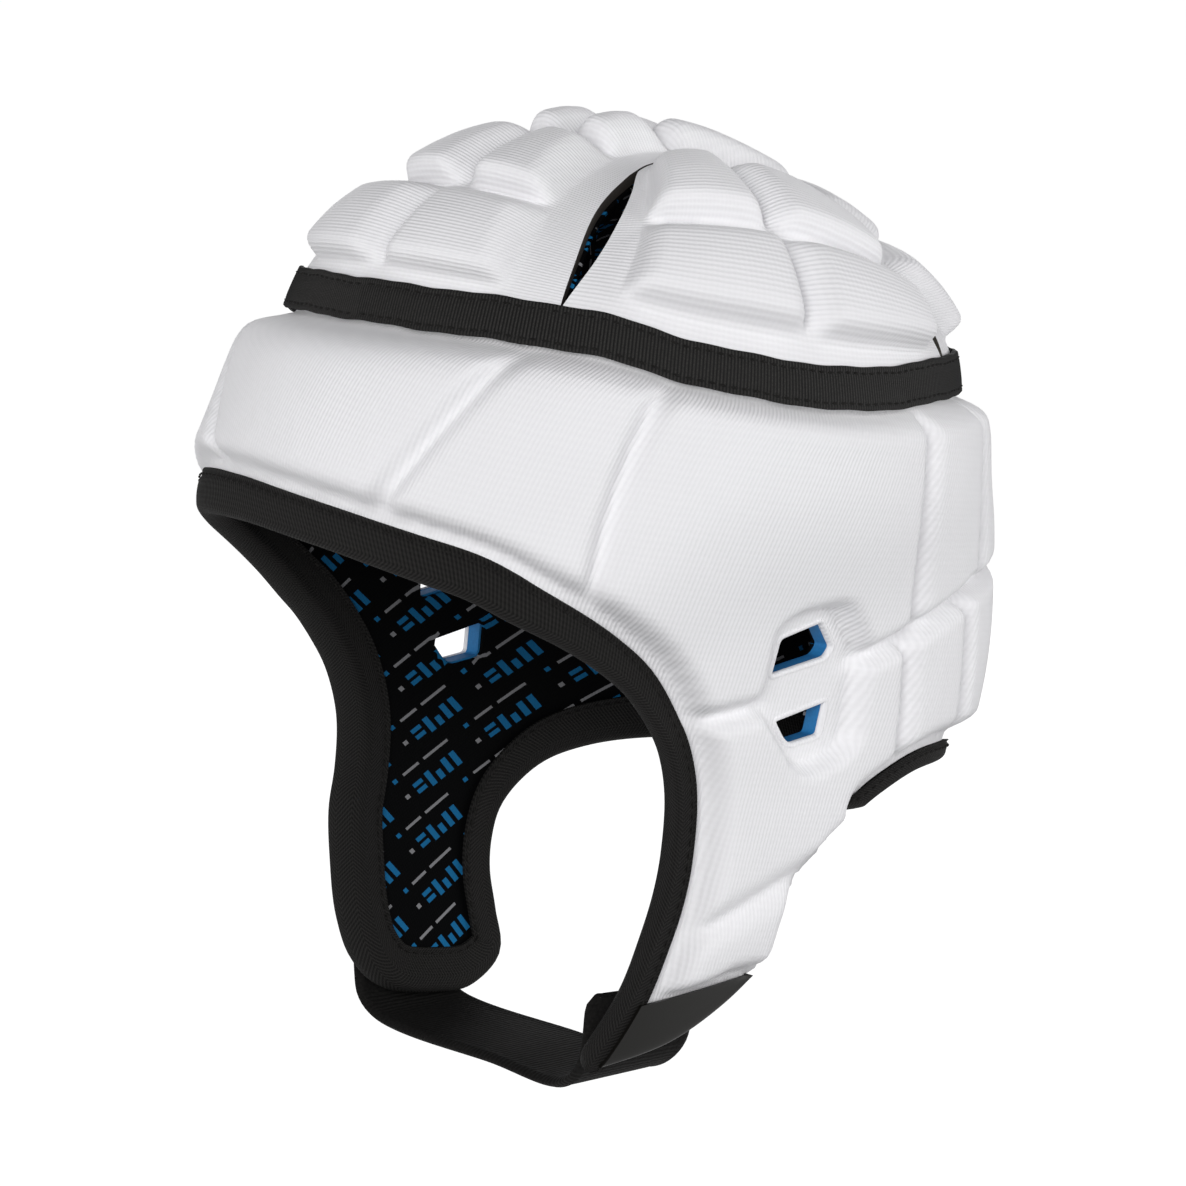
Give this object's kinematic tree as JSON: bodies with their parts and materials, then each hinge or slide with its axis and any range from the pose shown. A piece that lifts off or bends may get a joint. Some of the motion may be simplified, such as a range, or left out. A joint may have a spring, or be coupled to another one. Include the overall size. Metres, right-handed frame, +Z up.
{
  "type": "soft shell football helmet",
  "caption": "Soft padded sports headgear: moulded foam crown and lower shell with ear vents, taped seam, bound edges, black lining and a chin strap fastened under the jaw.",
  "frame": {"origin": "the underside of the crown lining, where the top of a head bears", "axes": "+Z up, the face opening towards -Y, the wearer's left at +X"},
  "size_m": [0.168, 0.2242, 0.2457],
  "materials": {
    "white_pad": "fine white knit over moulded foam",
    "black_tape": "matt woven tape",
    "lining_knit": "black knit with a small blue and grey print",
    "blue_foam": "cut closed-cell foam",
    "strap_web": "matt webbing with a looped pile",
    "tab_film": "smooth satin film"
  },
  "bodies": {
    "root": {"crown_centre_panel": "white_pad", "crown_side_panel_left": "white_pad", "crown_side_panel_right": "white_pad", "lower_shell": "white_pad", "crown_tape": "black_tape", "edge_binding": "black_tape", "crown_lining": "lining_knit", "shell_lining": "lining_knit", "ear_vent_foam_left": "blue_foam", "ear_vent_foam_right": "blue_foam", "chin_strap": "strap_web", "chin_tab": "tab_film"}
  },
  "joints": []
}
